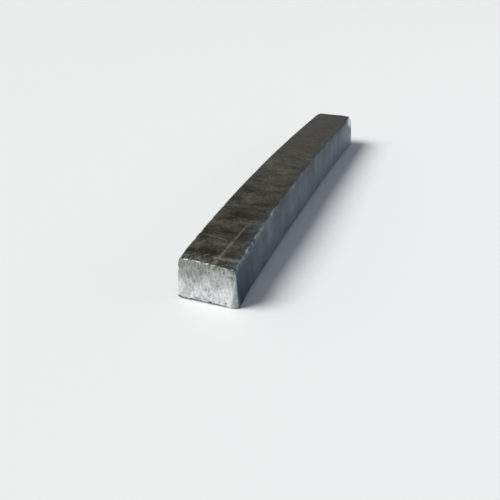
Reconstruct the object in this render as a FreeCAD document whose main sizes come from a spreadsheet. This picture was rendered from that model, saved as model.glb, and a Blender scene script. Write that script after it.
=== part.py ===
"""A cadmium ingot: one bar, cast face down in an open mould with a bellied floor, turned out and sawn off at one end.

Frame: +Z up, +Y along the bar from the sawn end to the cast end, origin under the middle of its bounding box.
The face that lay on the mould's floor is the top. It is narrower than the base, because the mould's walls have draft.
"""

import FreeCAD, Part
import math
import os
import Sketcher

FLAT = 1e-3  # mm, an edge this close to Z = 0 lies on the base

SIZES = [
    # alias, millimetres or degrees, what it is
    ("ingot_length", 410.0, "from the sawn face to the foot of the cast end"),
    ("base_width", 50.0, "across the base, before its edges are rounded"),
    ("sawn_height", 35.3, "base to top at the sawn face, where the top droops"),
    ("shoulder_height", 37.4, "base to top at the shoulder, where the droop begins"),
    ("shoulder_reach", 35.0, "from the sawn face to the shoulder"),
    ("middle_height", 41.1, "base to top at mid-length, where the mould's floor was bellied"),
    ("cast_height", 37.6, "base to top at the cast end"),
    ("side_bow", 3.0, "how far mid-length stands to the left of both ends"),
    ("side_draft", 3.7, "lean of each long side, in degrees"),
    ("end_draft", 5.0, "lean of the cast end, in degrees"),
    ("end_corner_radius", 8.0, "the cast end's two upright corners"),
    ("top_edge_radius", 2.2, "edges round the top face, from the mould's floor"),
    ("base_edge_radius", 2.0, "edges round the base, where the melt drew in as it froze"),
    ("facet_width", 6.0, "smeared corner of the sawn face, measured across it at the base"),
    ("facet_depth", 3.0, "the same corner, measured along the bar at the base"),
    ("facet_height", 27.0, "how far up the sawn face the same corner climbs before it fades out"),
    ("skim_depth", 2.0, "what is trimmed off below the base to leave it flat"),
]


def sheet_of_sizes(doc):
    """The driving dimensions, each in a cell with an alias."""
    sheet = doc.addObject("Spreadsheet::Sheet", "Sizes")
    for row, (alias, value, meaning) in enumerate(SIZES, start=1):
        sheet.set(f"A{row}", alias)
        sheet.set(f"B{row}", str(value))
        sheet.setAlias(f"B{row}", alias)
        sheet.set(f"C{row}", meaning)
    doc.recompute()
    return sheet


def origin_plane(body, role):
    """One of the body's own origin planes, such as XY_Plane."""
    return next(f for f in body.Origin.OriginFeatures if f.Role == role)


def closed_sketch(body, name, role, offset, corners):
    """A closed outline on an origin plane, moved along its normal by an expression.

    corners holds a pair of expressions for each corner, its place along the sketch's own X and Y.
    The sign of each place has to be known to draw the outline the right way round, so it comes
    from evaluating the expression before the constraint is bound to it.
    """
    sketch = body.newObject("Sketcher::SketchObject", name)
    sketch.AttachmentSupport = [(origin_plane(body, role), "")]
    sketch.MapMode = "FlatFace"
    sketch.setExpression("AttachmentOffset.Base.z", offset)
    places = [
        FreeCAD.Vector(*(sketch.evalExpression(place).Value for place in corner), 0)
        for corner in corners
    ]
    for start, end in zip(places, places[1:] + places[:1]):
        sketch.addGeometry(Part.LineSegment(start, end), False)
    count = len(corners)
    for side in range(count):
        sketch.addConstraint(Sketcher.Constraint("Coincident", side, 2, (side + 1) % count, 1))
    for side, corner in enumerate(corners):
        for kind, axis, value, expression in zip(
            ("DistanceX", "DistanceY"), "xy", (places[side].x, places[side].y), corner
        ):
            label = f"corner{side}_{axis}"
            number = sketch.addConstraint(Sketcher.Constraint(kind, -1, 1, side, 1, value))
            sketch.renameConstraint(number, label)
            sketch.setExpression(f"Constraints.{label}", expression)
    return sketch


def bar_section(body, name, station, height, aside):
    """The mould's cross-section at one station along the bar, carried below the base by the skim depth."""
    base_half = "(Sizes.base_width / 2 + Sizes.skim_depth * tan(Sizes.side_draft * 1deg)) * 1mm"
    top_half = f"(Sizes.base_width / 2 - {height} * tan(Sizes.side_draft * 1deg)) * 1mm"
    low = "-Sizes.skim_depth * 1mm"
    high = f"{height} * 1mm"
    return closed_sketch(
        body,
        name,
        "XZ_Plane",
        # the XZ plane's normal points along -Y
        f"-({station}) * 1mm",
        [
            (f"{aside} * 1mm - {base_half}", low),
            (f"{aside} * 1mm + {base_half}", low),
            (f"{aside} * 1mm + {top_half}", high),
            (f"{aside} * 1mm - {top_half}", high),
        ],
    )


def cast_bar(doc, body):
    """The bar as it froze: a loft through four sections, higher and a little aside at mid-length."""
    half_length = "Sizes.ingot_length / 2"
    shoulder_place = f"(Sizes.shoulder_reach - {half_length})"
    # the bow is a parabola along the bar, and the shoulder lies on it too
    right = "(Sizes.side_bow / 2)"
    left = "(-Sizes.side_bow / 2)"
    shoulder_aside = f"(Sizes.side_bow * (({shoulder_place} / ({half_length})) ^ 2 - 0.5))"
    sawn = bar_section(body, "SawnSection", f"-{half_length}", "Sizes.sawn_height", right)
    shoulder = bar_section(
        body, "ShoulderSection", shoulder_place, "Sizes.shoulder_height", shoulder_aside
    )
    middle = bar_section(body, "MiddleSection", "0", "Sizes.middle_height", left)
    cast = bar_section(body, "CastSection", half_length, "Sizes.cast_height", right)
    loft = body.newObject("PartDesign::AdditiveLoft", "CastBar")
    loft.Profile = sawn
    loft.Sections = [shoulder, middle, cast]
    loft.Ruled = False
    doc.recompute()
    return loft


def skimmed_base(doc, body):
    """Trims the bar below Z = 0, which leaves one flat face to rest on."""
    half_x = "(Sizes.base_width + Sizes.side_bow) * 1mm"
    half_y = "Sizes.ingot_length * 1mm"
    outline = closed_sketch(
        body,
        "SkimOutline",
        "XY_Plane",
        "0 mm",
        [
            (f"-{half_x}", f"-{half_y}"),
            (half_x, f"-{half_y}"),
            (half_x, half_y),
            (f"-{half_x}", half_y),
        ],
    )
    skim = body.newObject("PartDesign::Pocket", "SkimmedBase")
    skim.Profile = outline
    skim.Type = "Length"
    skim.setExpression("Length", "2 * Sizes.skim_depth * 1mm")
    # a pocket on the XY plane cuts towards -Z unless it is reversed
    skim.Reversed = False
    doc.recompute()
    return skim


def leaning_cast_end(doc, body):
    """Cuts the cast end back to the lean of the mould's end wall."""
    foot = "Sizes.ingot_length / 2 * 1mm"
    reach = "2 * Sizes.middle_height"
    lean = "tan(Sizes.end_draft * 1deg)"
    outline = closed_sketch(
        body,
        "EndWallOutline",
        "YZ_Plane",
        "0 mm",
        [
            (f"{foot} + {reach} * {lean} * 1mm", f"-{reach} * 1mm"),
            (f"{foot} + {reach} * 1mm", f"-{reach} * 1mm"),
            (f"{foot} + {reach} * 1mm", f"{reach} * 1mm"),
            (f"{foot} - {reach} * {lean} * 1mm", f"{reach} * 1mm"),
        ],
    )
    wall = body.newObject("PartDesign::Pocket", "LeaningCastEnd")
    wall.Profile = outline
    wall.Type = "ThroughAll"
    wall.Midplane = True
    doc.recompute()
    return wall


def smeared_corner(doc, body):
    """A facet on the sawn face's right corner, widest at the base and fading out near the top."""
    right = "(Sizes.side_bow / 2 + Sizes.base_width / 2)"
    front = "(-Sizes.ingot_length / 2)"
    clear = "Sizes.facet_width"
    top = "Sizes.facet_height"
    lean_in = f"{top} * tan(Sizes.side_draft * 1deg)"
    foot = closed_sketch(
        body,
        "FacetFoot",
        "XY_Plane",
        "0 mm",
        [
            (f"({right} - Sizes.facet_width) * 1mm", f"{front} * 1mm"),
            (f"({right} - Sizes.facet_width) * 1mm", f"({front} - {clear}) * 1mm"),
            (f"({right} + {clear}) * 1mm", f"({front} - {clear}) * 1mm"),
            (
                f"({right} + {clear}) * 1mm",
                f"({front} + Sizes.facet_depth * (1 + {clear} / Sizes.facet_width)) * 1mm",
            ),
        ],
    )
    head = closed_sketch(
        body,
        "FacetHead",
        "XY_Plane",
        f"{top} * 1mm",
        [
            (f"({right} - {lean_in}) * 1mm", f"{front} * 1mm"),
            (f"({right} - {lean_in}) * 1mm", f"({front} - {clear}) * 1mm"),
            (f"({right} + {clear}) * 1mm", f"({front} - {clear}) * 1mm"),
            (
                f"({right} + {clear}) * 1mm",
                f"({front} + Sizes.facet_depth * ({clear} + {lean_in}) / Sizes.facet_width) * 1mm",
            ),
        ],
    )
    facet = body.newObject("PartDesign::SubtractiveLoft", "SmearedCorner")
    facet.Profile = foot
    facet.Sections = [head]
    facet.Ruled = True
    doc.recompute()
    return facet


def edge_names(feature, wanted):
    """Names of the feature's edges for which wanted(edge) is true."""
    return [f"Edge{n}" for n, edge in enumerate(feature.Shape.Edges, start=1) if wanted(edge)]


def rounded(doc, body, name, base, edges, radius):
    """A fillet along the named edges of the feature before it."""
    fillet = body.newObject("PartDesign::Fillet", name)
    fillet.Base = (base, edges)
    fillet.setExpression("Radius", f"{radius} * 1mm")
    doc.recompute()
    return fillet


def build_ingot(doc, sizes):
    """The whole bar as one PartDesign body."""
    body = doc.addObject("PartDesign::Body", "ingot")
    body.Label = "ingot"
    cast_bar(doc, body)
    skimmed_base(doc, body)
    bar = leaning_cast_end(doc, body)

    half_length = sizes.ingot_length / 2
    # the cast end's top edge stands this far along the bar
    top_back = half_length - sizes.cast_height * math.tan(math.radians(sizes.end_draft))
    # an end's own edges lie wholly within this distance of it, and a long edge doesn't
    near = sizes.cast_height / 2

    def upright_at_cast_end(edge):
        box = edge.BoundBox
        return box.YMin > top_back - near and box.ZLength > near

    bar = rounded(
        doc, body, "CastCorners", bar, edge_names(bar, upright_at_cast_end), "Sizes.end_corner_radius"
    )

    def on_top_rim(edge):
        box = edge.BoundBox
        along_the_bar = box.YLength > half_length
        at_cast_end = box.YMin > top_back - near and box.ZLength < near
        return box.ZMin > near and (along_the_bar or at_cast_end)

    bar = rounded(doc, body, "TopRim", bar, edge_names(bar, on_top_rim), "Sizes.top_edge_radius")

    def on_base_rim(edge):
        box = edge.BoundBox
        return box.ZMax < FLAT and box.YMax > near - half_length

    bar = rounded(doc, body, "BaseRim", bar, edge_names(bar, on_base_rim), "Sizes.base_edge_radius")
    smeared_corner(doc, body)
    return body


def check_states(doc):
    """Stops the build if any object of the document failed to compute."""
    failed = [o.Name for o in doc.Objects if {"Invalid", "Error"} & set(o.State)]
    if failed:
        raise RuntimeError(f"these objects failed: {failed}")


def export(subparts):
    """Writes each sub-part's shape to parts/, in a file with its own label."""
    os.makedirs("parts", exist_ok=True)
    for subpart in subparts:
        shape = subpart.Shape
        if shape.isNull() or not shape.isValid() or len(shape.Solids) != 1:
            raise RuntimeError(f"{subpart.Label} is not one valid solid")
        shape.exportStep(os.path.join("parts", f"{subpart.Label}.step"))
        box = shape.BoundBox
        print(
            f"{subpart.Label}: {box.XLength:.2f} x {box.YLength:.2f} x {box.ZLength:.2f} mm, "
            f"{shape.Volume / 1000:.2f} cm3, X {box.XMin:.2f} to {box.XMax:.2f}"
        )


doc = FreeCAD.newDocument("CadmiumIngot")
sizes = sheet_of_sizes(doc)
ingot = build_ingot(doc, sizes)
doc.recompute()
check_states(doc)
export([ingot])
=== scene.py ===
# %% [markdown]
# # A cadmium ingot
#
# The object is one long bar of cadmium, cast in an open iron mould and turned out. It lies on the face
# that froze open to the air. The face that lay on the mould's floor is the top. It has gone dark
# brown-grey, because cadmium slowly takes on a thin skin of oxide. One end was sawn off, so the bright
# metal shows there.
#
# The bar's size and form come from the CAD model, which loads first and isn't changed. All that CAD
# leaves out is made here: the waves and dents of the cast skin, the torn grain of the cut, and the
# colours.

# %% Load the frame
import math
import random

import bpy
import numpy as np
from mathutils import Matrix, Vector, noise
from mathutils.bvhtree import BVHTree


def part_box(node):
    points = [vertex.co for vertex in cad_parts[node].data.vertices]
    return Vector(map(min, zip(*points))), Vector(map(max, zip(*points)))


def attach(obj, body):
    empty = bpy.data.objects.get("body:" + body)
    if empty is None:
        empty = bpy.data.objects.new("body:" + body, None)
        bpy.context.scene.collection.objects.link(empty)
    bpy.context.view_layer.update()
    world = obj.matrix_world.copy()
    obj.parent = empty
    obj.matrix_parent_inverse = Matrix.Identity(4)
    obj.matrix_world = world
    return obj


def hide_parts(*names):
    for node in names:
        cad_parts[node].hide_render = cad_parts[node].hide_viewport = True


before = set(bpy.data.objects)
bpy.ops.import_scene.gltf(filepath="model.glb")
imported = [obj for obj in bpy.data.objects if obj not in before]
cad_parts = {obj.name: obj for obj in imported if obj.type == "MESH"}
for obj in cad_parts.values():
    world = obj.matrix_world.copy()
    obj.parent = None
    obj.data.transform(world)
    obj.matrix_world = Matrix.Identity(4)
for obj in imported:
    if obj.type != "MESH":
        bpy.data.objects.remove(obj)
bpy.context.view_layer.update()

MM = 0.001
low, high = (np.array(corner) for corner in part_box("ingot"))
print("the bar measures", np.round((high - low) / MM, 1), "mm")

# %% [markdown]
# ## Measure the bar
#
# The bar isn't a plain prism. Its top is bellied along its length and droops at the cut, its sides lean
# in, and the whole bar is bowed sideways. Those curves could be typed in again, but then they could
# drift from the CAD model. So rays are cast at the CAD surface, and smooth curves are fitted to where
# they hit. A cubic is enough for the top and a parabola for the bow, because the real bar bends that
# gently.

# %% Fit curves to the CAD surface
ingot_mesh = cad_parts["ingot"].data
cad_surface = BVHTree.FromPolygons(
    [vertex.co for vertex in ingot_mesh.vertices],
    [polygon.vertices for polygon in ingot_mesh.polygons],
)
FAR = 1.0


def hit(start, direction):
    """Where a ray from start first meets the CAD surface."""
    return cad_surface.ray_cast(Vector(start), Vector(direction))[0]


END_MARGIN, PROBE_COUNT = 12 * MM, 24
measured = np.linspace(low[1] + END_MARGIN, high[1] - END_MARGIN, PROBE_COUNT)
tops = [hit((0, y, FAR), (0, 0, -1)).z for y in measured]
top_curve = np.poly1d(np.polyfit(measured, tops, 3))

low_probe, high_probe = 8 * MM, 24 * MM
sides = {
    z: np.array([[hit((side * FAR, y, z), (-side, 0, 0)).x for side in (-1, 1)] for y in measured])
    for z in (low_probe, high_probe)
}
middles = sides[low_probe].mean(axis=1)
bow_curve = np.poly1d(np.polyfit(measured, middles, 2))
low_half = np.ptp(sides[low_probe], axis=1).mean() / 2
high_half = np.ptp(sides[high_probe], axis=1).mean() / 2
side_lean = (low_half - high_half) / (high_probe - low_probe)
base_half = low_half + side_lean * low_probe
print(f"top {top_curve(low[1]) / MM:.1f} mm at the cut, {top_curve(0) / MM:.1f} mm in the middle")
print(f"half the base {base_half / MM:.2f} mm, sides lean {math.degrees(math.atan(side_lean)):.2f} degrees")

# %% [markdown]
# ## Lay out the cross-section
#
# A cross-section is a trapezoid with rounded corners. A bevel modifier could round a plain trapezoid,
# but the cut end and the skin both need small, even faces to carry their relief. So the section's
# points are placed here: arcs at the corners, straight runs between them, always the same number, so
# that one section joins to the next.

# %% One section as a ring of points
TOP_RADIUS = 2.2 * MM
BASE_RADIUS = 2.0 * MM
HALF_ARC_STEPS = 4
WIDTH_STEPS = 76
HEIGHT_STEPS = 52
across_count = WIDTH_STEPS + 2 * HALF_ARC_STEPS
upward_count = HEIGHT_STEPS + 2 * HALF_ARC_STEPS
ring_count = 2 * (across_count + upward_count)
lean_angle = math.atan(side_lean)


def section(y, side_inset=0.0, top_inset=0.0, base_inset=0.0):
    """Points (x, z) and outward normals round the bar at y, from the lower left corner and anticlockwise."""
    top = top_curve(y) - top_inset
    middle = bow_curve(y)

    def corner(side, z, radius):
        reach = base_half - side_inset - side_lean * z - radius / math.cos(lean_angle)
        return np.array([middle + side * reach, z]), radius

    quarter = math.pi / 2
    lower_right = corner(1, base_inset + BASE_RADIUS, BASE_RADIUS)
    upper_right = corner(1, top - TOP_RADIUS, TOP_RADIUS)
    upper_left = corner(-1, top - TOP_RADIUS, TOP_RADIUS)
    lower_left = corner(-1, base_inset + BASE_RADIUS, BASE_RADIUS)
    arcs = [
        (lower_right, -quarter, lean_angle, WIDTH_STEPS),
        (upper_right, lean_angle, quarter, HEIGHT_STEPS),
        (upper_left, quarter, 2 * quarter - lean_angle, WIDTH_STEPS),
        (lower_left, 2 * quarter - lean_angle, 3 * quarter, HEIGHT_STEPS),
    ]
    points, normals = [], []
    for (centre, radius), start, end, steps_before in arcs:
        angles = np.linspace(start, end, 2 * HALF_ARC_STEPS + 1)
        arc_normals = np.column_stack([np.cos(angles), np.sin(angles)])
        arc_points = centre + radius * arc_normals
        points.append((arc_points, steps_before))
        normals.append(arc_normals)
    ring, ring_normals = [], []
    for number, (arc_points, steps_before) in enumerate(points):
        previous = points[number - 1][0][-1]
        shares = np.arange(1, steps_before)[:, None] / steps_before
        ring.append(previous + (arc_points[0] - previous) * shares)
        ring_normals.append(np.repeat(normals[number][:1], steps_before - 1, axis=0))
        ring.append(arc_points)
        ring_normals.append(normals[number])
    # the ring now starts just after the lower left arc, so it turns back by half that arc
    turn = HALF_ARC_STEPS + 1
    return np.roll(np.vstack(ring), turn, axis=0), np.roll(np.vstack(ring_normals), turn, axis=0)


print(ring_count, "points were planned for a section, and it has", len(section(0)[0]))

# %% [markdown]
# ## Place the sections along the bar
#
# The sections stand close together at the cut, where the skin is ragged, and further apart along the
# plain bar. At the cast end they shrink along a quarter circle, which rounds the upright corners and
# the two level edges. The end wall leans, because the mould's end had draft, so the last sections are
# sheared back as they rise. Extruding one section and bevelling it would give neither the lean nor the
# uneven spacing.

# %% Sections from the cut to the cast end
CORNER_RADIUS = 8.0 * MM
FINE_STEP, COARSE_STEP = 0.35 * MM, 1.5 * MM
STEP_GROWTH = 1.05
LEAN_START = 25 * MM
CORNER_STATIONS = 10

end_hits = [hit((0, FAR, z), (0, -1, 0)).y for z in (low_probe, high_probe)]
end_lean = (end_hits[0] - end_hits[1]) / (high_probe - low_probe)
end_foot = end_hits[0] + end_lean * low_probe
cut = low[1]

places = [cut]
step = FINE_STEP
while places[-1] + step < end_foot - CORNER_RADIUS:
    places.append(places[-1] + step)
    step = min(step * STEP_GROWTH, COARSE_STEP)
turning = np.linspace(0, math.pi / 2, CORNER_STATIONS)
places += [end_foot - CORNER_RADIUS * (1 - math.sin(angle)) for angle in turning]
station_count = len(places)


def rounding(y, radius):
    """How far a surface has turned in at y, on a quarter circle that ends at the cast end."""
    run = min(max(y - (end_foot - radius), 0.0), radius)
    return radius - math.sqrt(radius**2 - run**2)


def smooth(low_edge, high_edge, value):
    """0 below low_edge, 1 above high_edge and an even S between them."""
    share = np.clip((value - low_edge) / (high_edge - low_edge), 0, 1)
    return share * share * (3 - 2 * share)


skin = np.zeros((station_count, ring_count, 3))
outward = np.zeros_like(skin)
for number, y in enumerate(places):
    ring, ring_normals = section(
        y, rounding(y, CORNER_RADIUS), rounding(y, TOP_RADIUS), rounding(y, BASE_RADIUS)
    )
    turned = smooth(end_foot - CORNER_RADIUS, end_foot, y)
    sheared = y - ring[:, 1] * end_lean * smooth(end_foot - LEAN_START, end_foot, y)
    skin[number] = np.column_stack([ring[:, 0], sheared, ring[:, 1]])
    outward[number] = np.column_stack(
        [ring_normals[:, 0] * (1 - turned), np.full(ring_count, turned), ring_normals[:, 1] * (1 - turned)]
    )
print(station_count, "sections make", station_count * ring_count, "points of skin")

# %% [markdown]
# ## Smear the lower right corner of the cut
#
# The cut's lower right corner was pushed back as the saw broke through, which left a narrow slanted
# facet. It can be cut with a boolean, but that would spoil the even grid. Instead every point outside
# the facet's plane is moved straight onto it.

# %% Push points back onto the facet
FACET_WIDTH, FACET_DEPTH, FACET_HEIGHT = 6.0 * MM, 3.0 * MM, 27.0 * MM
base_right = bow_curve(cut) + base_half
facet_foot = np.array([base_right - FACET_WIDTH, cut, 0])
facet_side = np.array([base_right, cut + FACET_DEPTH, 0])
facet_head = np.array([base_right - side_lean * FACET_HEIGHT, cut, FACET_HEIGHT])
facet_normal = np.cross(facet_head - facet_foot, facet_side - facet_foot)
facet_normal /= -np.copysign(np.linalg.norm(facet_normal), facet_normal[1])
skin_pushed = np.maximum((skin - facet_foot) @ facet_normal, 0)
skin = skin - skin_pushed[..., None] * facet_normal
print("the facet's deepest point moved", round(float(skin_pushed.max()) / MM, 2), "mm")

# %% [markdown]
# ## Give the cast skin its waves, dents and worn edges
#
# A cast skin is never flat. It copies the mould's uneven wall in broad waves, and shrinks a little
# where it froze last. Next to the cut, the long edge on the right has been knocked and rubbed until it
# is rounder than the mould made it. The whole skin starts a little way inside the CAD surface and all
# of this is cut into it, so the bar stays within the CAD model's box. A displacement texture could do
# the same, but it could not follow one edge or place one nick. Only the finest grain is left to a bump
# in the material.

# %% Waves in the skin
NOISE_SHIFT = np.array([3.1, 7.7, 1.9])  # where in the endless noise the bar lies


def ripple(points, patch, seed=0.0):
    """Smooth noise from -1 to 1 at each point. patch is its size in millimetres along x, y and z."""
    scaled = points.reshape(-1, 3) / (np.array(patch) * MM) + NOISE_SHIFT * (1 + seed)
    return np.array([noise.noise(place) for place in scaled]).reshape(points.shape[:-1])


from_cut = skin[..., 1] - cut
facing_up = smooth(0.5, 1.0, outward[..., 2] / np.linalg.norm(outward, axis=-1))
facing_down = smooth(0.3, 0.8, -outward[..., 2])
facing_aside = smooth(0.25, 0.95, np.abs(outward[..., 0]))

WAVE_DEPTH = 0.16 * MM
WAVE_START = 1.4  # the skin starts this many wave depths inside the CAD surface
broad = ripple(skin, (34, 40, 34)) * (1 - 0.55 * facing_aside)
middling = ripple(skin, (11, 9, 11), seed=1) * (1 - 0.6 * facing_aside)
upright_marks = ripple(skin, (16, 21, 60), seed=3) * facing_aside
depth = WAVE_DEPTH * (WAVE_START + broad + 0.24 * middling + 0.1 * upright_marks)
print("the waves reach", round(float(depth.max()) / MM, 2), "mm into the bar")

# %% Worn long edges
top_right = skin[:, across_count + upward_count]
top_left = skin[:, 2 * across_count + upward_count]
EDGE_REACH = 3.6 * MM
RIGHT_WEAR, LEFT_WEAR = 1.1 * MM, 0.8 * MM
off_right_edge = np.linalg.norm(skin - top_right[:, None], axis=-1)
off_left_edge = np.linalg.norm(skin - top_left[:, None], axis=-1)
rubbing = 0.5 + 0.5 * ripple(skin, (12, 12, 12), seed=4)
handled = 0.15 + 0.85 * (1 - smooth(35 * MM, 110 * MM, from_cut))
right_wear = np.exp(-((off_right_edge / EDGE_REACH) ** 2)) * rubbing * handled
left_handled = 0.1 + 0.9 * (1 - smooth(4 * MM, 16 * MM, from_cut))
left_wear = np.exp(-((off_left_edge / EDGE_REACH) ** 2)) * rubbing * left_handled
depth += RIGHT_WEAR * right_wear + LEFT_WEAR * left_wear
print("the edges are worn back by up to", round(RIGHT_WEAR * float(right_wear.max()) / MM, 2), "mm")

# %% Knocks and nicks in the edges
# each edge, its deepest knock in millimetres and the number of knocks
KNOCKS = [(top_right, 0.6, 15), (top_left, 0.4, 9)]
knocks = random.Random(11)
knock_mark = np.zeros(skin.shape[:2])
for edge_line, deepest, count in KNOCKS:
    for _ in range(count):
        where = knocks.triangular(2 * MM, 190 * MM, 45 * MM)
        centre = edge_line[int(np.argmin(np.abs(edge_line[:, 1] - cut - where)))]
        radius = knocks.uniform(0.9, 2.2) * MM
        dent = np.exp(-(np.linalg.norm(skin - centre, axis=-1) / radius) ** 2)
        depth += knocks.uniform(0.4, 1.0) * deepest * MM * dent
        knock_mark = np.maximum(knock_mark, 0.4 * dent)

NICK_DEPTH = 0.35 * MM
# each nick's distance from the cut and its half width, in millimetres
NICKS = [(8, 1.0), (16, 1.1), (29, 1.6), (34, 1.2), (49, 1.2), (54, 1.5), (62, 1.6), (88, 1.7), (96, 1.0)]
for place, half_width in NICKS:
    centre = top_right[int(np.argmin(np.abs(top_right[:, 1] - cut - place * MM)))]
    reach = half_width * MM * np.array([0.9, 2.1, 0.9])
    nick = np.exp(-(np.linalg.norm((skin - centre) / reach, axis=-1) ** 2))
    depth += NICK_DEPTH * nick
    knock_mark = np.maximum(knock_mark, nick)
print(sum(count for _, _, count in KNOCKS), "knocks and", len(NICKS), "nicks")

# %% Ragged lip at the cut
LIP_REACH, LIP_DEPTH = 1.0 * MM, 0.8 * MM
lip = np.exp(-from_cut / LIP_REACH)
lip_noise = smooth(0.35, 0.85, 0.5 + 0.5 * ripple(skin, (1.7, 1.7, 1.7), seed=5))
depth += LIP_DEPTH * lip * lip_noise
depth *= 1 - facing_down
print("the relief reaches", round(float(depth.max()) / MM, 2), "mm into the bar")

# %% Gap under the cut, and the slump of its right side
# the base drew in as it froze, so a thin gap shows under the cut, and the long edges behind it stand higher
GAP_REACH, GAP_HEIGHT = 30 * MM, 0.8 * MM
UNDERCUT_REACH, UNDERCUT_HEIGHT = 8 * MM, 2.6 * MM
LIFT_FADE = 9 * MM


def lift(points):
    """How far the base stands off the floor at each point, fading out further up."""
    along = points[..., 1] - cut
    off_middle = (points[..., 0] - bow_curve(points[..., 1])) / base_half
    leftward = 1 - 0.85 * smooth(0.1, 1.0, off_middle)
    gap = GAP_HEIGHT * leftward * (1 - smooth(0, GAP_REACH, along))
    near_sides = smooth(base_half - UNDERCUT_REACH, base_half, np.abs(off_middle) * base_half)
    undercut = UNDERCUT_HEIGHT * near_sides * smooth(0, GAP_REACH, along)
    return (gap + undercut) * (1 - smooth(0, LIFT_FADE, points[..., 2]))


# next to the cut the top slopes down to the right
SLUMP, SLUMP_REACH = 1.7 * MM, 80 * MM
off_centre = (skin[..., 0] - bow_curve(skin[..., 1])) / base_half
rightward = smooth(-0.5, 0.9, off_centre)
high_up = smooth(0.4, 0.95, skin[..., 2] / top_curve(skin[..., 1]))
slump = SLUMP * rightward * high_up * (1 - smooth(0, SLUMP_REACH, from_cut))
skin_lift = lift(skin) - slump
print("the base stands off the floor by up to", round(float(lift(skin).max()) / MM, 2), "mm")

# %% [markdown]
# ## Scatter crumbs of torn metal
#
# A coarse saw throws crumbs of soft metal over the edge, and some stay stuck to the top, most of them
# near the left corner. Others broke away and left a pit. At this size a crumb is one small bump.
# Separate little pieces would be loose parts, which the real crumbs are not, so the skin itself is
# raised.

# %% Crumbs on the top, next to the cut
CRUMB_COUNT, CRUMB_SPREAD = 90, 6.0 * MM
PIT_EVERY = 4  # every so many tries, a crumb has broken away instead
crumbs = random.Random(5)
crumb_mark = np.zeros(skin.shape[:2])
for number in range(CRUMB_COUNT):
    along = abs(crumbs.gauss(0, CRUMB_SPREAD))
    aside = (1.8 * crumbs.random() ** 2 - 0.94) * base_half
    where = np.array([bow_curve(cut) + aside, cut + along, top_curve(cut + along)])
    radius = crumbs.uniform(0.35, 0.7) * MM
    crumb = np.exp(-(np.linalg.norm(skin - where, axis=-1) / radius) ** 2)
    rise = crumbs.uniform(0.1, 0.3) * MM
    if number % PIT_EVERY:
        depth -= rise * crumb
        crumb_mark = np.maximum(crumb_mark, crumbs.uniform(0.6, 1.0) * crumb)
    else:
        depth += rise * crumb
skin = skin - outward * depth[..., None]
skin[..., 2] += skin_lift
print("crumbs cover", int((crumb_mark > 0.5).sum()), "points")

# %% [markdown]
# ## Flatten the far right corner
#
# The top corner furthest from the cut, on the right, has been struck. It left a burnished flat that
# catches the light, and its pale blue-white colour is partly a painted glint. The corner is moved back
# along the flat's own normal, and the flat starts gently and runs off the end of the bar. A round dent
# would be simpler, but its far wall would turn towards the cut and look dull.

# %% Struck corner
STRIKE_LENGTH, STRIKE_RUN_IN, STRIKE_DEPTH = 22 * MM, 10 * MM, 1.8 * MM
strike_normal = np.array([0.85, 0, 0.527])  # the flat faces right and partly up
strike_start = end_foot - STRIKE_LENGTH
strike = STRIKE_DEPTH * smooth(strike_start, strike_start + STRIKE_RUN_IN, skin[..., 1])
corner_line = skin[:, [across_count + upward_count]]
# where the colour paints a glint on the struck flat, which is also burnished smooth
BURNISH_AND_GLINT_FROM_END, BURNISH_AND_GLINT_REACH = 7 * MM, np.array([11, 25, 13]) * MM
off_middle = np.abs(corner_line[:, 0, 1] - (end_foot - BURNISH_AND_GLINT_FROM_END))
middle_of_flat = corner_line[int(np.argmin(off_middle)), 0]
burnish_and_glint_spot = np.exp(-(np.linalg.norm((skin - middle_of_flat) / BURNISH_AND_GLINT_REACH, axis=-1) ** 2))
struck = np.maximum((skin - corner_line) @ strike_normal + strike, 0)
skin = skin - struck[..., None] * strike_normal
print("the struck flat is up to", round(float(struck.max()) / MM, 2), "mm deep")

# %% [markdown]
# ## Close both ends
#
# Each end is filled with a grid whose border is the end section itself, worn edges included. The points
# inside are blended from the four sides, which is called a Coons patch. A fan of long triangles or one
# big face would close the end too, but neither could carry the grain of the torn metal.

# %% Grids for the two ends


def end_grid(ring):
    """Points (x, z) on a grid that fills a section, as an array with one row for each step up."""
    base_side = ring[: across_count + 1]
    right_side = ring[across_count : across_count + upward_count + 1]
    top_side = ring[across_count + upward_count : 2 * across_count + upward_count + 1][::-1]
    left_side = np.vstack([ring[2 * across_count + upward_count :], ring[:1]])[::-1]
    u = np.linspace(0, 1, across_count + 1)[None, :, None]
    v = np.linspace(0, 1, upward_count + 1)[:, None, None]
    from_sides = (1 - v) * base_side[None] + v * top_side[None]
    from_sides = from_sides + (1 - u) * left_side[:, None] + u * right_side[:, None]
    from_corners = (1 - v) * ((1 - u) * base_side[0] + u * base_side[-1])
    from_corners = from_corners + v * ((1 - u) * top_side[0] + u * top_side[-1])
    return from_sides - from_corners


cut_grid = end_grid(skin[0][:, [0, 2]])
cast_grid = end_grid(skin[-1][:, [0, 2]])

# the cut face is flat except where the facet's plane lies further in
in_cut_plane = np.stack([cut_grid[..., 0], np.full(cut_grid.shape[:2], cut), cut_grid[..., 1]], axis=-1)
past_facet = (in_cut_plane - facet_foot) @ facet_normal
face_pushed = np.maximum(past_facet, 0) / -facet_normal[1]
cut_face = in_cut_plane + face_pushed[..., None] * np.array([0, 1, 0])
cast_face = np.stack([cast_grid[..., 0], end_foot - cast_grid[..., 1] * end_lean, cast_grid[..., 1]], axis=-1)
cast_face[..., 1] -= WAVE_DEPTH * (WAVE_START + ripple(cast_face, (12, 12, 9), seed=9))
print("each end has", cut_grid.shape[0], "x", cut_grid.shape[1], "points")

# %% [markdown]
# ## Tear the cut face
#
# The cut face is grainy, with short upright furrows from the saw and pits where crystals tore out, most
# of them along the base and under the top edge. A bump in the material would show the furrows, but the
# light would not catch on the rims of the pits, so both are geometry. The face is moved in along the
# bar only, so it stays as square as the saw left it.

# %% Relief of the cut face


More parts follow.
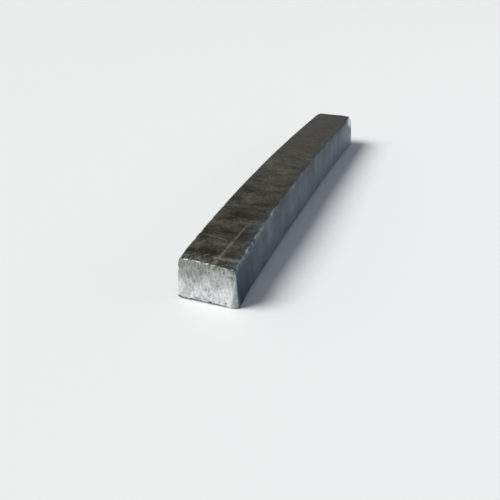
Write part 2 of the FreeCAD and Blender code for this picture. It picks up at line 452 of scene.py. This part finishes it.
def torn(points):
    """How far the torn grain lies in from the plane of the cut at each point."""
    leaning = points + points[..., [2]] * np.array([0.12, 0, 0])
    furrows = ripple(leaning, (1.9, 4, 6), seed=6)
    grain = ripple(points, (1.2, 2, 1.7), seed=7)
    swell = ripple(points, (9, 9, 12), seed=8)
    return MM * (0.5 + 0.2 * furrows + 0.1 * grain + 0.2 * swell)


sample = torn(in_cut_plane[::10, ::10])
print("the torn grain lies", np.round([sample.min() / MM, sample.max() / MM], 2), "mm in")

# %% Places of the pits
# each pit as shares of half the base's width and of the bar's height
pits = random.Random(23)
along_base = [(pits.uniform(-0.45, 0.6), 0.05 + abs(pits.gauss(0, 0.04))) for _ in range(16)]
under_rim = [(pits.uniform(0.0, 0.9), 0.97 - abs(pits.gauss(0, 0.05))) for _ in range(16)]
upper_right = [(pits.gauss(0.74, 0.06), pits.gauss(0.85, 0.04)) for _ in range(5)]
scattered = [(pits.uniform(-0.85, 0.85), pits.uniform(0.2, 0.9)) for _ in range(14)]
pit_places = along_base + under_rim + upper_right + scattered
print(len(pit_places), "pits")

# %% Move the cut face and its lip in


def pitted(points):
    """1 at the middle of each pit, fading to 0 at its rim."""
    mark = np.zeros(points.shape[:-1])
    shape = random.Random(31)
    torn_rim = 1 + 0.7 * ripple(points, (0.9, 2, 1.2), seed=10)
    for aside, upward in pit_places:
        centre = np.array([bow_curve(cut) + aside * base_half, cut, upward * top_curve(cut)])
        reach = shape.uniform(0.3, 0.8) * MM * np.array([shape.uniform(0.7, 1.4), 1, shape.uniform(0.7, 1.6)])
        away = np.linalg.norm((points - centre) / reach, axis=-1) * torn_rim
        mark = np.maximum(mark, shape.uniform(0.5, 1.0) * np.exp(-(away**2)))
    return mark


PIT_DEPTH, FOLLOW_REACH = 0.7 * MM, 1.5 * MM
face_pits = pitted(cut_face)
above_base = cut_face[..., 2] - cut_face[:1, :, 2]
cut_face[..., 1] += torn(cut_face) + PIT_DEPTH * face_pits
lip_shift = torn(skin[:1]) + PIT_DEPTH * pitted(skin[:1])
skin[:1, :, 1] += lip_shift
# the sections behind the lip move with it, less and less, so that none is overtaken
follow = np.exp(-from_cut / FOLLOW_REACH)
skin[1:, :, 1] += (lip_shift * follow)[1:]
print("the grain is", round(float(np.ptp(cut_face[..., 1])) / MM, 2), "mm from crest to pit")

# %% [markdown]
# ## Join skin and ends into one mesh
#
# The bar is one casting, so it is one closed mesh. The end grids share their border points with the
# first and last sections, and nothing is left open or doubled. Masks that the materials need, such as
# where the edge is rubbed, are stored on the points as attributes, because they come from the same
# numbers that shaped the relief.

# %% Points and faces
skin_points = skin.reshape(-1, 3)
inner = (slice(1, -1), slice(1, -1))
all_points = np.vstack([skin_points, cut_face[inner].reshape(-1, 3), cast_face[inner].reshape(-1, 3)])
all_points[:, 2] = np.maximum(all_points[:, 2], 0)


def skin_number(station, place):
    """The number of a point of the skin."""
    return station * ring_count + place % ring_count


def end_numbers(station, first_inner):
    """Point numbers of an end grid. Its border belongs to a section, and its inside comes after the skin."""
    numbers = np.zeros((upward_count + 1, across_count + 1), dtype=int)
    numbers[inner] = first_inner + np.arange((upward_count - 1) * (across_count - 1)).reshape(
        upward_count - 1, across_count - 1
    )
    for i in range(across_count + 1):
        numbers[0, i] = skin_number(station, i)
        numbers[-1, i] = skin_number(station, 2 * across_count + upward_count - i)
    for j in range(upward_count + 1):
        numbers[j, -1] = skin_number(station, across_count + j)
        numbers[j, 0] = skin_number(station, ring_count - j)
    return numbers


def grid_faces(numbers):
    """Four-sided faces between the rows and columns of a grid of point numbers."""
    corners = [numbers[:-1, :-1], numbers[:-1, 1:], numbers[1:, 1:], numbers[1:, :-1]]
    return np.stack(corners, axis=-1).reshape(-1, 4)


skin_grid = np.arange(station_count * ring_count).reshape(station_count, ring_count)
skin_grid = np.hstack([skin_grid, skin_grid[:, :1]])
inner_count = (upward_count - 1) * (across_count - 1)
cut_numbers = end_numbers(0, len(skin_points))
cast_numbers = end_numbers(station_count - 1, len(skin_points) + inner_count)
skin_faces = grid_faces(skin_grid)[:, ::-1]
cut_faces = grid_faces(cut_numbers)
cast_faces = grid_faces(cast_numbers)[:, ::-1]
faces = np.vstack([skin_faces, cut_faces, cast_faces])
print(len(all_points), "points and", len(faces), "faces")

# %% The mesh
bar_mesh = bpy.data.meshes.new("cast_bar")
bar_mesh.from_pydata(all_points.tolist(), [], faces.tolist())
bar_mesh.validate()
bar = bpy.data.objects.new("cast_bar", bar_mesh)
bpy.context.scene.collection.objects.link(bar)
bar_mesh.polygons.foreach_set("use_smooth", np.ones(len(faces), dtype=bool))
lip_points = set(range(ring_count))
for edge in bar_mesh.edges:
    edge.use_edge_sharp = set(edge.vertices) <= lip_points
print("triangles:", 2 * len(faces))

# %% Masks for the materials


def store_mask(name, on_skin, on_cut=0.0, on_cast=0.0):
    """Stores one number for each point of the mesh, for materials to read."""
    values = np.zeros(len(all_points), dtype=np.float32)
    first_cut, first_cast = len(skin_points), len(skin_points) + inner_count
    values[:first_cut] = on_skin.ravel()
    values[first_cut:first_cast] = np.ravel(on_cut)
    values[first_cast:] = on_cast
    bar_mesh.attributes.new(name, "FLOAT", "POINT").data.foreach_set("value", values)


spill = smooth(0.25, 0.85, 1.1 * lip * (0.15 + lip_noise) + crumb_mark)
store_mask("bare", spill)
store_mask("flank", 1 - facing_up, on_cast=1.0)
store_mask("rubbed", np.clip(right_wear + 0.3 * left_wear, 0, 1))
BROWN_REACH, BLUE_REACH, FLECK_REACH, PAINTED_SHADOW_HEIGHT = 7.5 * MM, 4.8 * MM, 13 * MM, 1.2 * MM
near_right_edge = np.exp(-((off_right_edge / BROWN_REACH) ** 2))
store_mask("browned", near_right_edge * (1 - smooth(25 * MM, 70 * MM, from_cut)))
at_right_edge = np.exp(-((off_right_edge / BLUE_REACH) ** 2))
store_mask("blued", at_right_edge * (1 - smooth(60 * MM, 130 * MM, from_cut)))
near_lip = np.exp(-((from_cut / FLECK_REACH) ** 2))
store_mask("crumbed", near_lip * (1 - 0.85 * smooth(-0.8, 0.3, off_centre)))
# a pale blue-white spot on the struck corner: polished metal, and partly a painted glint
store_mask("burnish_and_glint", smooth(0.3, 0.75, burnish_and_glint_spot) * smooth(0.0, 0.35, outward[..., 0] + outward[..., 1]))
store_mask("knocked", knock_mark)
# on the cut face the smeared grey reaches 0.9 mm past the facet's edge, as painted shade over the highlight
# that the turned normals give there
store_mask("smeared", smooth(0, 0.9 * MM, skin_pushed), smooth(-0.9 * MM, 0.4 * MM, past_facet[inner]))
no_skin = np.zeros(skin.shape[:2])
# painted contact shadow: a ragged dark band along the foot of the cut's left part, where the shade under the
# bar falls
ragged = PAINTED_SHADOW_HEIGHT * (1 + 0.9 * ripple(cut_face, (1.6, 2, 3), seed=12))
leftward = 1 - smooth(0.3, 0.95, (cut_face[..., 0] - bow_curve(cut)) / base_half)
foot = (1 - smooth(0.55, 1.0, above_base / ragged)) * leftward
store_mask("foot", no_skin, foot[inner])
# the pits' mask, which the cut's finish uses for painted shade in the pits
store_mask("pitted", no_skin, face_pits[inner])
print("masks:", sorted(layer.name for layer in bar_mesh.attributes if layer.data_type == "FLOAT"))

# %% Hand the bar to the frame
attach(bar, "root")
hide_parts("ingot")
print(bar.name, "stands for the CAD node ingot")

# %% [markdown]
# ## Colours and nodes
#
# Colours are written as sRGB hex values, as a paint chart gives them. Shaders work in linear light, so
# one function turns the one into the other. A second function adds a node, sets it and links it in one
# call. Two more are recipes that every finish here is made of: clouds of noise at a real size, and
# colours laid over one another like coats of paint, each as thick as a mask or a noise says. The last
# one starts a material and fetches the masks that were stored on the mesh.

# %% A colour and a node


def linear(hex_colour):
    """An sRGB colour such as #c0ffee as the linear red, green, blue and alpha that shaders take."""
    channels = [int(hex_colour[start : start + 2], 16) / 255 for start in (1, 3, 5)]
    return [c / 12.92 if c <= 0.04045 else ((c + 0.055) / 1.055) ** 2.4 for c in channels] + [1.0]


def add(tree, kind, inputs=None, **settings):
    """Adds one node. settings are its own options. inputs are values, outputs or whole nodes to link."""
    node = tree.nodes.new("ShaderNode" + kind)
    for name, value in settings.items():
        setattr(node, name, value)
    for name, value in (inputs or {}).items():
        in_use = [socket for socket in node.inputs if socket.name == name and socket.enabled]
        socket = in_use[0] if in_use else node.inputs[name]
        if isinstance(value, bpy.types.Node):
            value = next(output for output in value.outputs if output.enabled)
        if isinstance(value, bpy.types.NodeSocket):
            tree.links.new(value, socket)
        else:
            socket.default_value = value
    return node


print("mid grey in linear light is", round(linear("#808080")[0], 3))

# %% Recipes for patches and coats
PRODUCT = {"operation": "MULTIPLY"}
EASED = {"interpolation_type": "SMOOTHSTEP"}


def patches(tree, place, size, detail=3.0, low_edge=0.35, high_edge=0.65):
    """Cloudy patches from 0 to 1. size is a patch's size in millimetres along x, y and z."""
    stretched = add(tree, "Mapping", {"Vector": place, "Scale": [1 / (side * MM) for side in size]})
    cloud = add(tree, "TexNoise", {"Vector": stretched, "Scale": 1.0, "Detail": detail})
    return add(tree, "MapRange", {"Value": cloud, "From Min": low_edge, "From Max": high_edge})


def coated(tree, colour, *coats):
    """A colour with coats over it, lowest first. Each coat is its thickness from 0 to 1 and its colour."""
    for thickness, coat in coats:
        colour = add(tree, "Mix", {"Factor": thickness, "A": colour, "B": coat}, data_type="RGBA")
    return colour


def new_material(name, *mask_names):
    """An empty node material, its tree and output, the place on the bar, and masks stored on the mesh."""
    material = bpy.data.materials.new(name)
    material.use_nodes = True
    tree = material.node_tree
    tree.nodes.clear()
    place = add(tree, "TexCoord").outputs["Object"]
    masks = {word: add(tree, "Attribute", attribute_name=word).outputs["Fac"] for word in mask_names}
    return material, tree, add(tree, "OutputMaterial"), place, masks


print("patches of 20 mm are noise at a scale of", round(1 / (20 * MM)))

# %% [markdown]
# ## Finish of the cast skin
#
# This is cadmium as cast, with the oxide that years in air gave it. It is still a metal, so it
# reflects, but the oxide makes it dark and takes most of the shine. At a flat angle bare metal would
# reflect everything, and the oxide takes a little of that too, which is what the pale grey specular
# tint is for. A dark plastic with a gloss would be simpler, but it would lose the metal's tinted
# reflections.
#
# Each scratch is a line between two points on the top. A painted image would place it as well, but a
# distance to a line stays sharp at any size and needs no picture.

# %% Scratches
SCRATCHES = [
    # start and end as (x, distance from the cut), half the width and the strength
    ((6.9, 3.0), (7.2, 18.0), 2.6, 0.75),
    ((7.0, 14.0), (9.6, 60.0), 1.6, 0.65),
    ((4.5, 9.2), (22.5, 12.5), 3.2, 1.0),
    ((-20.0, 38.0), (3.0, 34.5), 1.7, 0.28),
    ((-19.0, 42.0), (-4.0, 43.0), 1.3, 0.2),
    ((-4.0, 27.0), (18.0, 30.0), 1.2, 0.28),
    ((14.0, 26.0), (21.0, 47.0), 1.6, 0.25),
    ((-16.0, 20.0), (-9.0, 36.0), 1.1, 0.22),
    ((-2.0, 62.0), (19.0, 66.0), 1.5, 0.22),
]


def scratched(tree, place):
    """1 along the middle of each scratch, weighted by its strength, fading to 0 at its sides."""
    flat = add(tree, "VectorMath", {0: place, 1: (1, 1, 0)}, **PRODUCT)
    deepest = 0.0
    for start, end, width, strength in SCRATCHES:
        first = Vector((start[0] * MM, cut + start[1] * MM, 0))
        run = Vector((end[0] * MM, cut + end[1] * MM, 0)) - first
        offset = add(tree, "VectorMath", {0: flat, 1: first}, operation="SUBTRACT")
        share = add(tree, "VectorMath", {0: offset, 1: run / run.length_squared}, operation="DOT_PRODUCT")
        share = add(tree, "Clamp", {0: share})
        nearest = add(tree, "VectorMath", {0: run, "Scale": share}, operation="SCALE")
        gap = add(tree, "VectorMath", {0: offset, 1: nearest}, operation="DISTANCE")
        fading = {"Value": gap, "From Max": width * MM, "To Min": strength, "To Max": 0.0}
        line = add(tree, "MapRange", fading, **EASED)
        deepest = add(tree, "Math", {0: deepest, 1: line}, operation="MAXIMUM")
    broken = patches(tree, place, (2.4, 3.0, 2.4), low_edge=0.25, high_edge=0.65)
    return add(tree, "Math", {0: deepest, 1: broken}, **PRODUCT)


print(len(SCRATCHES), "scratches")

# %% [markdown]
# ### The top
#
# The top lay against the mould's floor. Its oxide has gone brown-grey in clouds, with faint marks that
# run across the bar, and it is darker and more even towards the cast end. Beside the right edge, next
# to the cut, it has brown patches, and blue-grey ones right at the edge. Flecks of bright metal lie
# thickest near the cut's left corner. One noise would give clouds of one kind, so each kind of mark has
# its own.

# %% Colour of the top
TOP_DARK, TOP_LIGHT = ("#2f2d26", "#524f46"), ("#696556", "#979282")  # each from plain to specked


def top_colour(tree, place, clouds, far_along, masks):
    """Brown-grey oxide, scratched and flecked."""
    marks = patches(tree, place, (12, 6, 12), detail=6, low_edge=0.38, high_edge=0.62)
    specks = patches(tree, place, (2.4, 2.2, 2.4), low_edge=0.3, high_edge=0.7)
    dark, light = (
        coated(tree, linear(plain), (specks, linear(specked))) for plain, specked in (TOP_DARK, TOP_LIGHT)
    )
    cloud_share = add(tree, "Math", {0: clouds, 1: 0.55}, **PRODUCT)
    mark_share = add(tree, "Math", {0: marks, 1: 0.45}, **PRODUCT)
    lightness = add(tree, "Math", {0: cloud_share, 1: mark_share}, operation="ADD")

    olive = patches(tree, place, (42, 34, 42), detail=2, low_edge=0.52, high_edge=0.66)
    olive = add(tree, "Math", {0: olive, 1: 0.45}, **PRODUCT)
    blotches = patches(tree, place, (30, 75, 30), detail=4, low_edge=0.36, high_edge=0.64)
    far_top = coated(tree, linear("#33322d"), (blotches, linear("#4f4c43")))
    rust = patches(tree, place, (6, 5, 6), detail=4, low_edge=0.35, high_edge=0.6)
    browned = add(tree, "Math", {0: masks["browned"], 1: rust}, **PRODUCT)
    bluing = patches(tree, place, (2.6, 5, 2.6), detail=4, low_edge=0.34, high_edge=0.54)
    blued = add(tree, "Math", {0: masks["blued"], 1: bluing}, **PRODUCT)
    thick = add(tree, "MapRange", {"Value": masks["crumbed"], "To Min": 0.12, "To Max": 1.0})
    flecks = patches(tree, place, (1.5, 2.2, 1.5), detail=2, low_edge=0.57, high_edge=0.66)
    flecks = add(tree, "Math", {0: flecks, 1: thick}, **PRODUCT)
    return coated(
        tree,
        dark,
        (lightness, light),
        (olive, linear("#67614a")),
        (far_along, far_top),
        (browned, linear("#7f705a")),
        (blued, linear("#718188")),
        (scratched(tree, place), linear("#d6d4cc")),
        (flecks, linear("#d4d5ce")),
    )


print("the top goes from", TOP_DARK, "to", TOP_LIGHT)

# %% [markdown]
# ### The sides
#
# The sides froze against the cool mould wall. They stayed smoother than the top, and bluer, which is
# partly bare cadmium's own tint and partly a painted reflection of cool blue light. They have soft
# upright streaks and grow more even towards the cast end. They are painted darker next to the top and
# paler low down, as painted light that evens out the shade they reflect from the floor's shadow, and
# darker next to the cut, as painted shade. One grey with a bump would be simpler, but the streaks are in
# the oxide's colour and not in its shape.

# %% Colour of the sides
# the blue of these greys is partly cadmium's own tint and partly a painted reflection of cool blue light; the
# low-down colours are paler as painted light
SIDE_DULL, SIDE_CLEAR = ("#353f4a", "#6a7784"), ("#4e5965", "#98a6b3")  # each from high up to low down
SIDE_FAR = ("#37424e", "#8896a4")


def side_colour(tree, place, along, upward, far_along):
    """Thin blue-grey oxide in upright streaks. The blue is partly a painted reflection, and there is painted
    shade next to the cut and painted light low down.
    """
    streaks = patches(tree, place, (26, 22, 44), detail=5, low_edge=0.34, high_edge=0.66)
    # painted light: the sides are made paler low down, to even out the shade they reflect from the floor's
    # shadow
    painted_light_low_down = add(tree, "MapRange", {"Value": upward, "From Min": 38 * MM, "From Max": 4 * MM})
    dull, clear, far_side = (
        coated(tree, linear(high_up), (painted_light_low_down, linear(low_down)))
        for high_up, low_down in (SIDE_DULL, SIDE_CLEAR, SIDE_FAR)
    )
    mottling = patches(tree, place, (20, 24, 22), detail=5, low_edge=0.44, high_edge=0.62)
    mottling = add(tree, "Math", {0: mottling, 1: 0.3}, **PRODUCT)
    # painted shade: the sides are darkened next to the cut
    fading = {"Value": along, "From Min": cut, "From Max": cut + 90 * MM, "To Min": 0.7, "To Max": 0.0}
    painted_shade_near_cut = add(tree, "MapRange", fading, **EASED)
    return coated(
        tree,
        dull,
        (streaks, clear),
        (mottling, linear("#8f999f")),
        (painted_shade_near_cut, linear("#424e5a")),
        (far_along, far_side),
    )


print("the sides go from", SIDE_DULL, "to", SIDE_CLEAR)

# %% [markdown]
# ### Skin of the whole casting
#
# The top's and the sides' colours meet in the rounded edges. Over both lie the marks of use: the rubbed
# edge, the nicks, the bare crumbs at the lip and the burnished corner, whose pale blue-white is partly a
# painted glint. Two materials with a seam between them would be simpler, but on the real bar the one
# runs into the other.

# %% Oxidised cadmium


def cast_skin():
    """Oxidised cadmium, as cast."""
    mask_names = ("flank", "browned", "blued", "crumbed", "rubbed", "knocked", "bare", "burnish_and_glint")
    material, tree, output, place, masks = new_material("cast_skin", *mask_names)
    _, along, upward = add(tree, "SeparateXYZ", {"Vector": place}).outputs
    clouds = patches(tree, place, (23, 15, 23), detail=6, low_edge=0.4, high_edge=0.6)
    evening_out = {"Value": along, "From Min": cut + 180 * MM, "From Max": end_foot, "To Max": 0.7}
    far_along = add(tree, "MapRange", evening_out, **EASED)
    scuffs = patches(tree, place, (3, 2, 3), detail=5, low_edge=0.4, high_edge=0.6)
    rubbed = add(tree, "Math", {0: masks["rubbed"], 1: scuffs}, **PRODUCT)
    chipping = add(tree, "MapRange", {"Value": scuffs, "To Min": 0.35})
    nicked = add(tree, "Math", {0: masks["knocked"], 1: chipping}, **PRODUCT)
    colour = coated(
        tree,
        top_colour(tree, place, clouds, far_along, masks),
        (masks["flank"], side_colour(tree, place, along, upward, far_along)),
        (rubbed, linear("#9fadb9")),
        (nicked, linear("#ccd2d0")),
        (masks["bare"], linear("#b9bcb9")),
        # burnished metal on the struck corner, whose pale blue-white is partly a painted glint
        (masks["burnish_and_glint"], linear("#bcd8f2")),
    )

    oxide_roughness = add(tree, "MapRange", {"Value": clouds, "To Min": 0.38, "To Max": 0.48})
    bare_roughness = add(tree, "MapRange", {"Value": masks["bare"], "To Max": 0.2})
    roughness = add(tree, "Math", {0: oxide_roughness, 1: bare_roughness}, operation="ADD")
    polishing = {"Value": masks["burnish_and_glint"], "To Min": roughness, "To Max": 0.2}
    grain = patches(tree, place, (2.2, 2.0, 2.2), detail=4, low_edge=0.2, high_edge=0.8)
    finish = {
        "Base Color": colour,
        "Metallic": 1.0,
        "Specular Tint": linear("#ececec"),
        "Roughness": add(tree, "MapRange", polishing),
        "Normal": add(tree, "Bump", {"Height": grain, "Strength": 0.22, "Distance": 0.2 * MM}),
    }
    tree.links.new(add(tree, "BsdfPrincipled", finish).outputs[0], output.inputs["Surface"])
    print(material.name, "has", len(tree.nodes), "nodes")
    return material


bar_mesh.materials.append(cast_skin())

# %% [markdown]
# ## Finish of the cut
#
# The cut shows clean cadmium, a bright metal close to tin in colour. The saw tore it instead of slicing
# it, so it is rough at every scale and looks almost matt. It is greyest at the upper left, and the smeared
# corner is greyer than the torn metal beside it; that grey reaches a little past the facet as painted
# shade over a highlight. A thin dark line along the foot of the left part is a painted contact shadow,
# and the pits are darkened with painted shade. The furrows and specks are drawn in the colour as well
# as in the relief, because the real ones are finer than the mesh.

# %% Torn bright metal


def torn_metal():
    """Freshly sawn cadmium."""
    material, tree, output, place, masks = new_material("torn_metal", "pitted", "smeared", "foot")
    furrows = patches(tree, place, (1.8, 3, 5), detail=5, low_edge=0.34, high_edge=0.66)
    specks = patches(tree, place, (1.6, 1.6, 2.0), detail=4, low_edge=0.36, high_edge=0.64)
    swells = patches(tree, place, (9, 9, 12), low_edge=0.4, high_edge=0.6)
    lightness = add(tree, "Mix", {"Factor": 0.45, "A": furrows, "B": specks})
    lightness = add(tree, "Mix", {"Factor": 0.3, "A": lightness, "B": swells})
    bright = coated(tree, linear("#acb1b0"), (lightness, linear("#fdfeff")))
    grey = coated(tree, linear("#4d514e"), (lightness, linear("#afb4ae")))
    smear = coated(tree, linear("#717a78"), (lightness, linear("#a7b0ac")))

    across, _, upward = add(tree, "SeparateXYZ", {"Vector": place}).outputs
    leftward = {"Value": across, "From Min": 20 * MM, "From Max": -12 * MM, "To Min": 0.8}
    greyest = add(tree, "MapRange", leftward)
    greying = {"Value": upward, "From Min": 8 * MM, "From Max": 34 * MM, "To Max": greyest}
    smeared = add(tree, "Math", {0: masks["smeared"], 1: 0.8}, **PRODUCT)
    colour = coated(
        tree,
        bright,
        (add(tree, "MapRange", greying, **EASED), grey),
        # painted shade: the pits are darkened as well as sunk
        (masks["pitted"], linear("#3c3e3d")),
        (smeared, smear),
        # painted contact shadow along the foot of the cut
        (masks["foot"], linear("#1c1d1d")),
    )

    grain = patches(tree, place, (1.1, 1.1, 2.2), detail=5, low_edge=0.2, high_edge=0.8)
    bump = add(tree, "Bump", {"Height": grain, "Strength": 0.5, "Distance": 0.3 * MM})
    finish = {"Base Color": colour, "Metallic": 1.0, "Roughness": 0.5, "Normal": bump}
    tree.links.new(add(tree, "BsdfPrincipled", finish).outputs[0], output.inputs["Surface"])
    print(material.name, "has", len(tree.nodes), "nodes")
    return material


bar_mesh.materials.append(torn_metal())

# %% Which faces are torn
which = np.zeros(len(faces), dtype=np.int32)
which[len(skin_faces) : len(skin_faces) + len(cut_faces)] = 1
bar_mesh.polygons.foreach_set("material_index", which)
print(int(which.sum()), "faces of torn metal")

# %% [markdown]
# ## Floor
#
# The bar lies on a plain pale floor. It is so large that its edge is never near, and quite matt, so
# that it shows the bar's shadow and no reflection. Its paleness matters too: it is what the cut face
# reflects. Pale surroundings alone could stand in for it, but then the bar would float without a
# shadow.

# %% Pale floor


def pale_floor():
    """A matt, even floor."""
    material = bpy.data.materials.new("pale_floor")
    material.use_nodes = True
    tree = material.node_tree
    tree.nodes.clear()
    matt = add(tree, "BsdfDiffuse", {"Color": linear("#e9e9e7")})
    add(tree, "OutputMaterial", {"Surface": matt})
    return material


FLOOR_SIZE = 30.0
bpy.ops.mesh.primitive_plane_add(size=FLOOR_SIZE, location=(0, 0, 0))
floor = bpy.context.object
floor.name = "floor"
floor.data.materials.append(pale_floor())
print("the floor is", FLOOR_SIZE, "m square")

# %% [markdown]
# ## Surroundings
#
# Dark metal only shows what it reflects, so the surroundings matter as much as the lamps. They are pale
# near the horizon and dimmer above, which keeps the near part of the top dark. To the right they are a
# dim blue-grey, so the right side stays in shade. A picture of a real room would do the same, but the
# render would then depend on a file.

# %% Pale horizon, dim ceiling
world = bpy.data.worlds.new("room")
bpy.context.scene.world = world
world.use_nodes = True
tree = world.node_tree
tree.nodes.clear()
direction = add(tree, "TexCoord").outputs["Generated"]
rightwards, _, upwards = add(tree, "SeparateXYZ", {"Vector": direction}).outputs
dimming = add(tree, "MapRange", {"Value": upwards, "From Min": 0.02, "From Max": 0.5}, **EASED)
turning_away = add(tree, "MapRange", {"Value": rightwards, "From Min": 0.4, "From Max": 1.0}, **EASED)
sky = coated(tree, linear("#e6e7e8"), (dimming, linear("#77797c")), (turning_away, linear("#6f7985")))
glow = add(tree, "Background", {"Color": sky, "Strength": 1.0})
add(tree, "OutputWorld", {"Surface": glow})
print("the surroundings have", len(tree.nodes), "nodes")

# %% [markdown]
# ## Lamps
#
# The main light is like a large window behind the left shoulder. A sun lamp with a wide angle gives
# that: even over the whole bar, with a soft shadow to the right. An area lamp of that size would do
# too, but it would light the near end more than the far one. A weak blue-white soft box fills the right
# side, as daylight from another window would.

# %% Window and soft box


def aimed(name, lamp, place):
    """Stands a lamp at place, aimed at the middle of the bar."""
    holder = bpy.data.objects.new(name, lamp)
    holder.location = place
    holder.rotation_euler = (Vector((0, 0, 0.02)) - Vector(place)).to_track_quat("-Z", "Y").to_euler()
    bpy.context.scene.collection.objects.link(holder)
    print(name, "stands at", place)


window = bpy.data.lights.new("window", "SUN")
window.energy = 3.5
window.angle = math.radians(34)
aimed("window", window, (-1.15, -0.7, 1.4))

side_box = bpy.data.lights.new("side_box", "AREA")
side_box.size = 0.9
side_box.energy = 2.5
side_box.color = linear("#c4d8ff")[:3]
aimed("side_box", side_box, (1.5, 0.1, 0.9))

# %% [markdown]
# ## Camera
#
# The camera stands close, to the right of the sawn end, and looks down along the bar. From so near, the
# far end looks much smaller than the cut, and that is what makes the bar look long. A longer lens from
# further off would make the two ends look nearly the same size. Colours are shown by the plain view
# transform, so that the hex values above mean what they say.

# %% Camera
EYE = Vector((0.15154, -0.51617, 0.23622))
HEADING, DIP = math.radians(20.537), math.radians(28.943)
FOCAL_LENGTH = 40.298
eye = bpy.data.cameras.new("eye")
eye.lens = FOCAL_LENGTH
eye.sensor_width = 36
camera = bpy.data.objects.new("eye", eye)
camera.location = EYE
camera.rotation_euler = (math.pi / 2 - DIP, 0, HEADING)
bpy.context.scene.collection.objects.link(camera)
bpy.context.scene.camera = camera
bpy.context.scene.view_settings.view_transform = "Standard"
print("the camera is", round(EYE.length, 3), "m from the middle of the bar")
